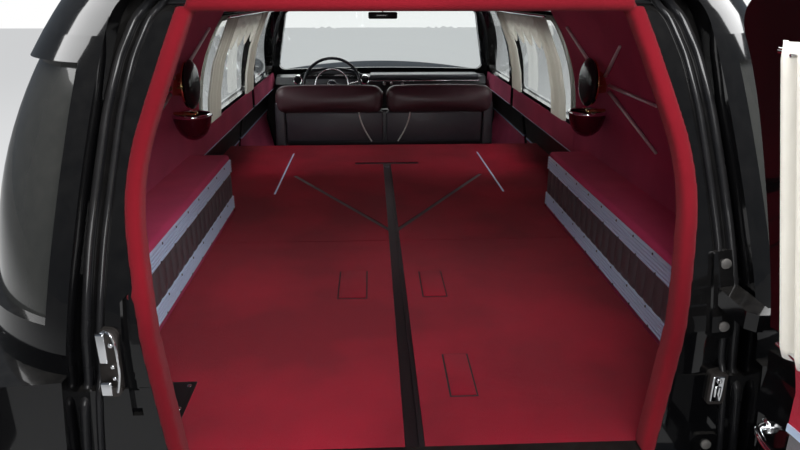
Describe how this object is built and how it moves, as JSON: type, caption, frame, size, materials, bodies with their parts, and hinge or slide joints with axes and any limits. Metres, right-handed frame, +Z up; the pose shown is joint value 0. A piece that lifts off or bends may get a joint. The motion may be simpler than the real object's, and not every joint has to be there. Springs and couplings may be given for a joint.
{
  "type": "hearse",
  "caption": "Long closed hearse with a side-hinged rear door standing open on its covered load deck, side benches, wall lamps, bench seat, opening doors and bonnet, steering and rolling wheels.",
  "frame": {"origin": "on the ground, under the centre line, half way along the overall length with the rear door open", "axes": "+X to the vehicle's right, +Y to its front, +Z up"},
  "size_m": [2.044, 7.4304, 1.8009],
  "materials": {
    "body_paint": "gloss black",
    "chassis_paint": "satin black",
    "bright_trim": "polished",
    "fluted_trim": "bright fluted",
    "deck_cover": "burgundy carpet",
    "wall_cover": "burgundy cloth",
    "welt": "bright red pile",
    "drape": "gathered cloth",
    "seat_leather": "grained",
    "clear_glass": "polished",
    "lamp_glass": "polished",
    "tail_glass": "polished",
    "lamp_metal": "polished",
    "dash_paint": "satin",
    "wheel_rim_plastic": "gloss",
    "engine_iron": "painted",
    "axle_steel": "dull",
    "exhaust_steel": "dull",
    "wheel_steel": "bright",
    "tyre_rubber": "matt"
  },
  "bodies": {
    "body": {"rear_quarters": "body_paint", "roof_panel": "body_paint", "door_frames": "body_paint", "rear_frame": "body_paint", "door_welt": "welt", "wall_panels": "wall_cover", "body_glass": "clear_glass", "floor_pan": "chassis_paint", "deck_boards": "deck_cover", "deck_rails": "fluted_trim", "benches": "deck_cover", "bench_trims": "fluted_trim", "wall_lamps": "lamp_metal", "front_seat": "seat_leather", "dashboard": "dash_paint", "front_wings": "body_paint", "nose_panel": "body_paint", "grille": "bright_trim", "headlamps": "lamp_glass", "tail_lamps": "tail_glass", "bumpers": "bright_trim", "chassis_frame": "chassis_paint", "engine_block": "engine_iron", "exhaust": "exhaust_steel", "rear_axle": "axle_steel", "front_suspension": "axle_steel", "rear_hinge_arms": "body_paint", "rear_latch": "bright_trim"},
    "steering": {"steering_wheel": "wheel_rim_plastic"},
    "knuckle_left": {"knuckle_left": "axle_steel"},
    "knuckle_right": {"knuckle_right": "axle_steel"},
    "wheel_front_left": {"wheel_front_left": "wheel_steel", "tyre_front_left": "tyre_rubber"},
    "wheel_front_right": {"wheel_front_right": "wheel_steel", "tyre_front_right": "tyre_rubber"},
    "wheel_rear_left": {"wheel_rear_left": "wheel_steel", "tyre_rear_left": "tyre_rubber"},
    "wheel_rear_right": {"wheel_rear_right": "wheel_steel", "tyre_rear_right": "tyre_rubber"},
    "rear_door": {"rear_door": "body_paint", "rear_door_glass": "clear_glass", "rear_door_drapes": "drape"},
    "front_door_left": {"front_door_left": "body_paint", "front_door_glass_left": "clear_glass"},
    "side_door_left": {"side_door_left": "body_paint", "side_door_glass_left": "clear_glass", "drapes_left": "drape"},
    "front_door_right": {"front_door_right": "body_paint", "front_door_glass_right": "clear_glass"},
    "side_door_right": {"side_door_right": "body_paint", "side_door_glass_right": "clear_glass", "drapes_right": "drape"},
    "bonnet": {"bonnet": "body_paint"}
  },
  "joints": [
    {"name": "roll_front_left", "type": "hinge", "parent": "knuckle_left", "child": "wheel_front_left", "pos_m": [-0.775, 2.7652, 0.372], "axis": [1, 0, 0], "continuous": true},
    {"name": "roll_front_right", "type": "hinge", "parent": "knuckle_right", "child": "wheel_front_right", "pos_m": [0.775, 2.7652, 0.372], "axis": [1, 0, 0], "continuous": true},
    {"name": "roll_rear_left", "type": "hinge", "parent": "body", "child": "wheel_rear_left", "pos_m": [-0.775, -1.1948, 0.372], "axis": [1, 0, 0], "continuous": true},
    {"name": "roll_rear_right", "type": "hinge", "parent": "body", "child": "wheel_rear_right", "pos_m": [0.775, -1.1948, 0.372], "axis": [1, 0, 0], "continuous": true},
    {"name": "steer_left", "type": "hinge", "parent": "body", "child": "knuckle_left", "pos_m": [-0.63, 2.7652, 0.372], "axis": [0, 0, 1], "range_deg": [-30, 30]},
    {"name": "steer_right", "type": "hinge", "parent": "body", "child": "knuckle_right", "pos_m": [0.63, 2.7652, 0.372], "axis": [0, 0, 1], "range_deg": [-30, 30]},
    {"name": "steering_wheel_turn", "type": "hinge", "parent": "body", "child": "steering", "pos_m": [-0.36, 1.3502, 0.985], "axis": [0, -0.8829, 0.4695], "range_deg": [-450, 450]},
    {"name": "rear_door_swing", "type": "hinge", "parent": "body", "child": "rear_door", "pos_m": [0.66, -2.4188, 0.86], "axis": [0, 0, 1], "range_deg": [-90, 15]},
    {"name": "front_door_swing_left", "type": "hinge", "parent": "body", "child": "front_door_left", "pos_m": [-1.012, 2.0007, 0.67], "axis": [0, 0, 1], "range_deg": [-70, 0]},
    {"name": "side_door_swing_left", "type": "hinge", "parent": "body", "child": "side_door_left", "pos_m": [-1.012, -0.5303, 0.67], "axis": [0, 0, 1], "range_deg": [0, 70]},
    {"name": "front_door_swing_right", "type": "hinge", "parent": "body", "child": "front_door_right", "pos_m": [1.012, 2.0007, 0.67], "axis": [0, 0, 1], "range_deg": [0, 70]},
    {"name": "side_door_swing_right", "type": "hinge", "parent": "body", "child": "side_door_right", "pos_m": [1.012, -0.5303, 0.67], "axis": [0, 0, 1], "range_deg": [-70, 0]},
    {"name": "bonnet_lift", "type": "hinge", "parent": "body", "child": "bonnet", "pos_m": [0, 2.1112, 1.012], "axis": [1, 0, 0], "range_deg": [0, 50]}
  ],
  "couplings": [
    {"joint": "steer_right", "follows": "steer_left", "ratio": 1},
    {"joint": "steering_wheel_turn", "follows": "steer_left", "ratio": 15}
  ]
}
